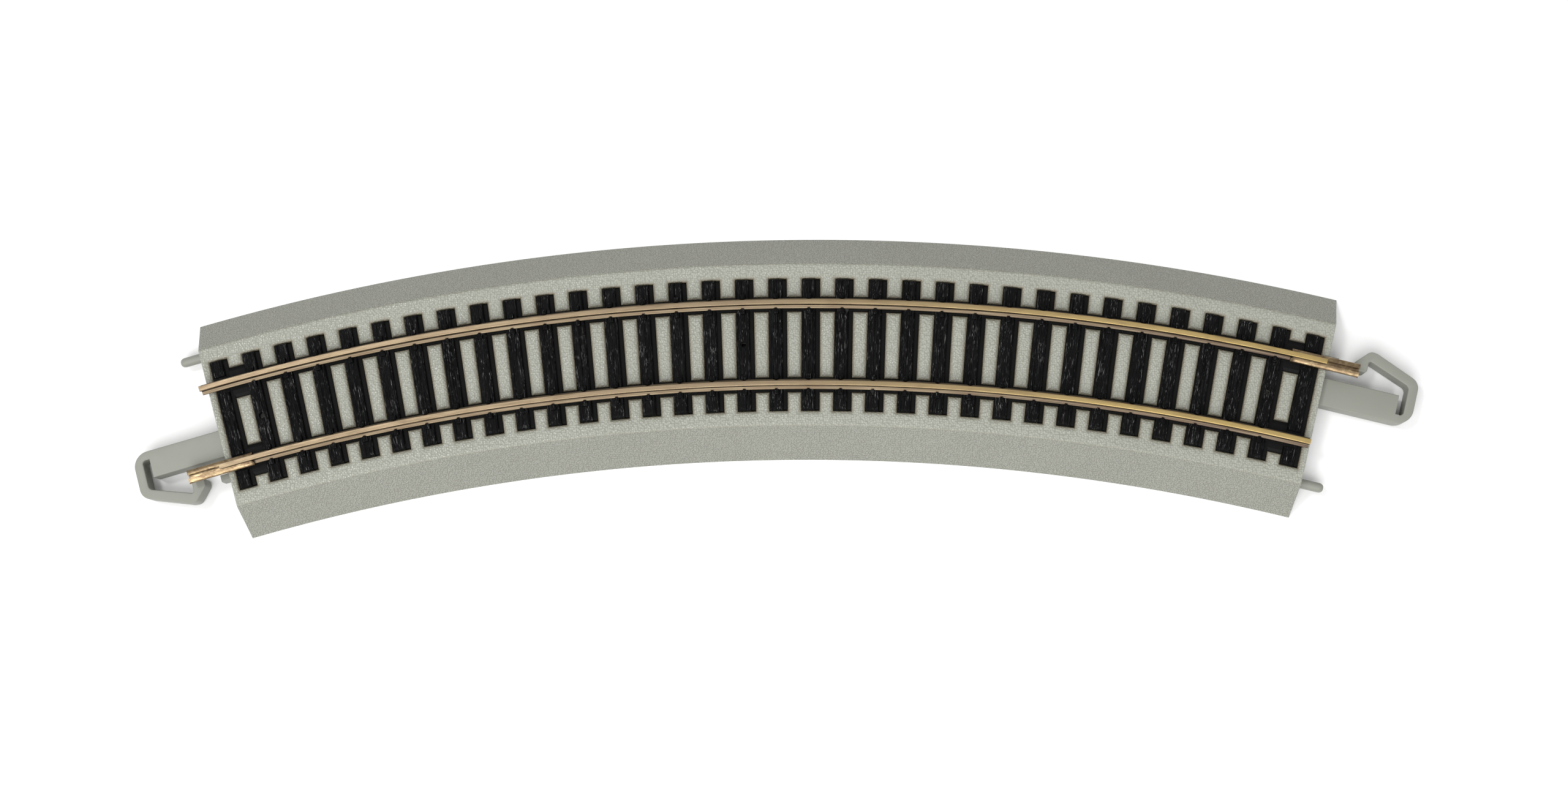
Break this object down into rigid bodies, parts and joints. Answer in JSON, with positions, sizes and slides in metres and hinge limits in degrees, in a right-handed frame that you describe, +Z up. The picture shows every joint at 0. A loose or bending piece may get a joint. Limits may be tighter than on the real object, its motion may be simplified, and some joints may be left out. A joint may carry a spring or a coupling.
{
  "type": "curved model railway track section",
  "caption": "Curved model railway track section: nickel silver rails on black ties set in a grey ballast roadbed, with rail joiners, pegs and sprung locking tabs.",
  "frame": {"origin": "on the base plane, under the middle of the track's centreline", "axes": "+X along the centreline's tangent there, towards the right end; +Y outwards from the curve's centre, which is 457.2 mm away along -Y; +Z up"},
  "size_m": [0.2768, 0.0634, 0.0096],
  "materials": {
    "roadbed": "fine pebble grain",
    "ties": "moulded wood grain, semi-gloss",
    "rail": "drawn nickel silver, lightly tarnished",
    "joiner": "stamped nickel silver"
  },
  "bodies": {
    "track": {"roadbed": "roadbed", "tie_strip": "ties", "outer_rail": "rail", "inner_rail": "rail"},
    "left_joiner": {"left_rail_joiner": "joiner"},
    "left_latch": {"left_latch_arm": "roadbed"},
    "right_joiner": {"right_rail_joiner": "joiner"},
    "right_latch": {"right_latch_arm": "roadbed"}
  },
  "joints": [
    {"name": "left_joiner_slide", "type": "slide", "parent": "track", "child": "left_joiner", "axis": [-0.9659, -0.2588, 0], "range_m": [-0.001, 0.006]},
    {"name": "left_latch_flex", "type": "hinge", "parent": "track", "child": "left_latch", "pos_m": [-0.13565, -0.02457, 0.0025], "axis": [0, 0, 1], "range_deg": [0, 12], "stiffness_Nm_per_rad": 0.25},
    {"name": "right_joiner_slide", "type": "slide", "parent": "track", "child": "right_joiner", "axis": [0.9659, -0.2588, 0], "range_m": [-0.001, 0.006]},
    {"name": "right_latch_flex", "type": "hinge", "parent": "track", "child": "right_latch", "pos_m": [0.13782, -0.01645, 0.0025], "axis": [0, 0, 1], "range_deg": [0, 12], "stiffness_Nm_per_rad": 0.25}
  ]
}
